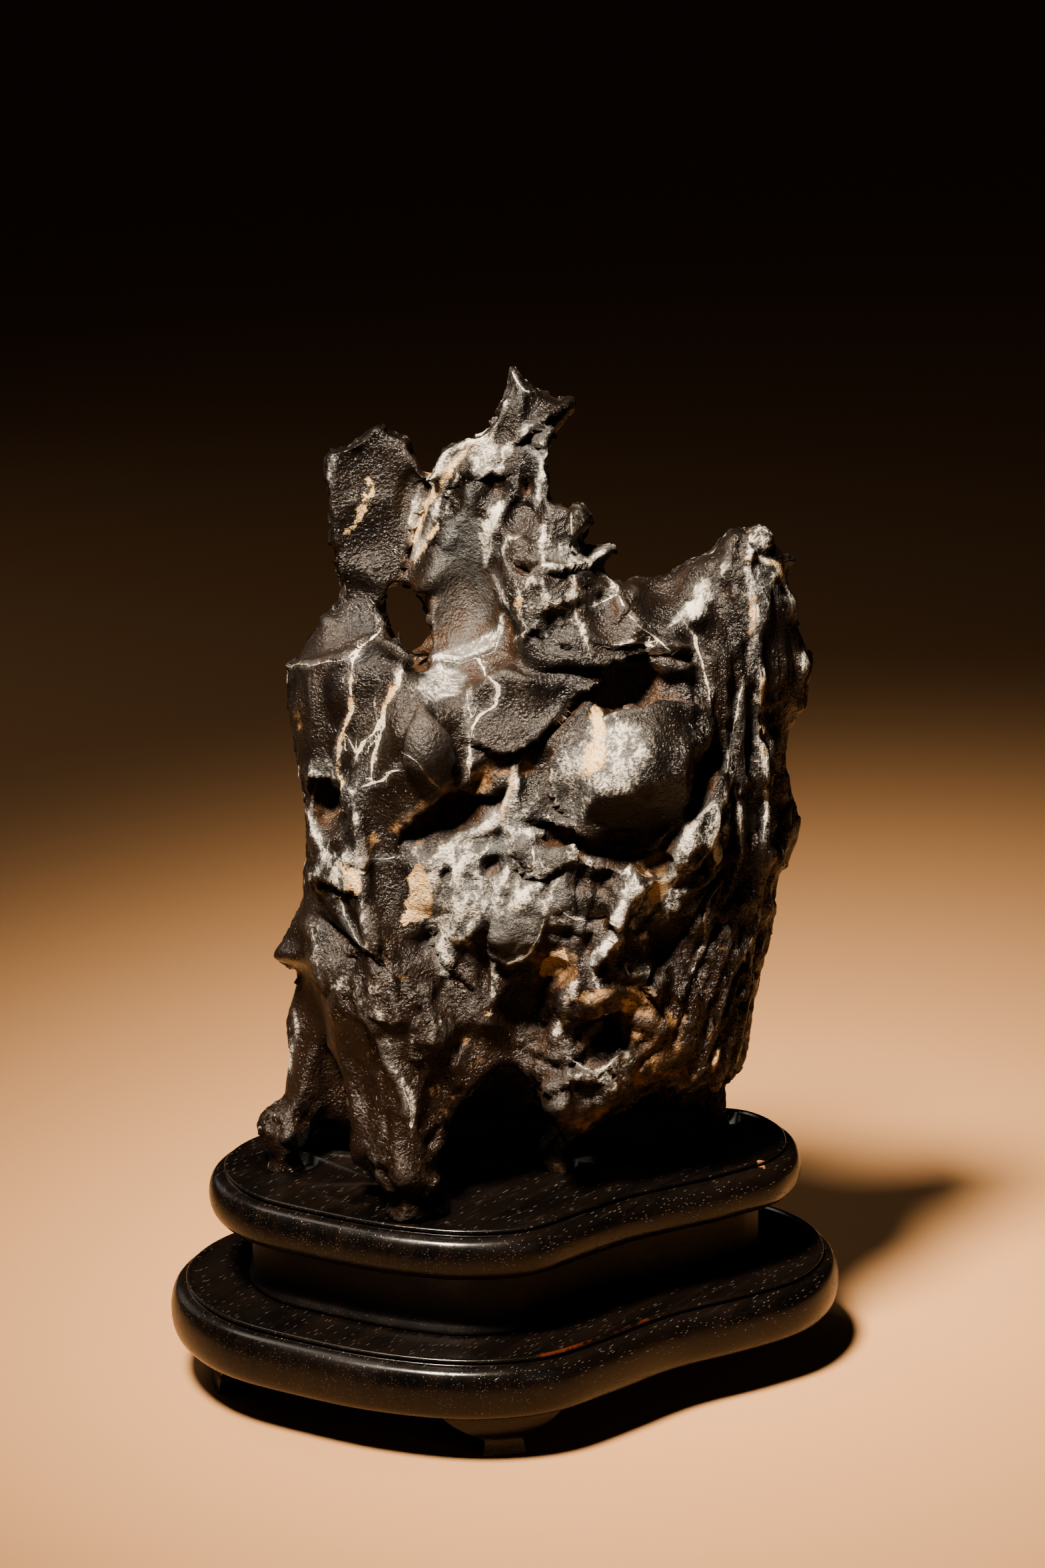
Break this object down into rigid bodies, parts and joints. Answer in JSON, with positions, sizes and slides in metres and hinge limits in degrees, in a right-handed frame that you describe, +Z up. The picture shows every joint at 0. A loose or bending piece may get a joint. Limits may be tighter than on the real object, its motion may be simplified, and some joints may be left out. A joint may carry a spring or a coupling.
{
  "type": "lingbi scholar stone on a fitted hardwood stand",
  "caption": "Craggy dark limestone scholar's stone with a pierced window, peaks and a bulging boulder, standing on a two-tier lobed hardwood stand with bracket feet.",
  "frame": {"origin": "on the floor, under the middle of the stand's outline", "axes": "+Z up, the front of the stone faces -Y, +X to the right as seen from the front"},
  "size_m": [0.1584, 0.1072, 0.2451],
  "materials": {
    "limestone": "near-black limestone, hand polished to a satin sheen, with white calcite veins and ochre crusts",
    "lacquered_hardwood": "black-brown lacquered hardwood with open pores and a soft shine on its beads",
    "recessed_hardwood": "the same hardwood, duller and slightly redder where it is set back"
  },
  "bodies": {
    "root": {"stone": "limestone", "stand_upper_board": "lacquered_hardwood", "stand_waist": "recessed_hardwood", "stand_lower_board": "lacquered_hardwood", "foot_front": "lacquered_hardwood", "foot_right": "lacquered_hardwood", "foot_back": "lacquered_hardwood", "foot_left": "lacquered_hardwood"}
  },
  "joints": []
}
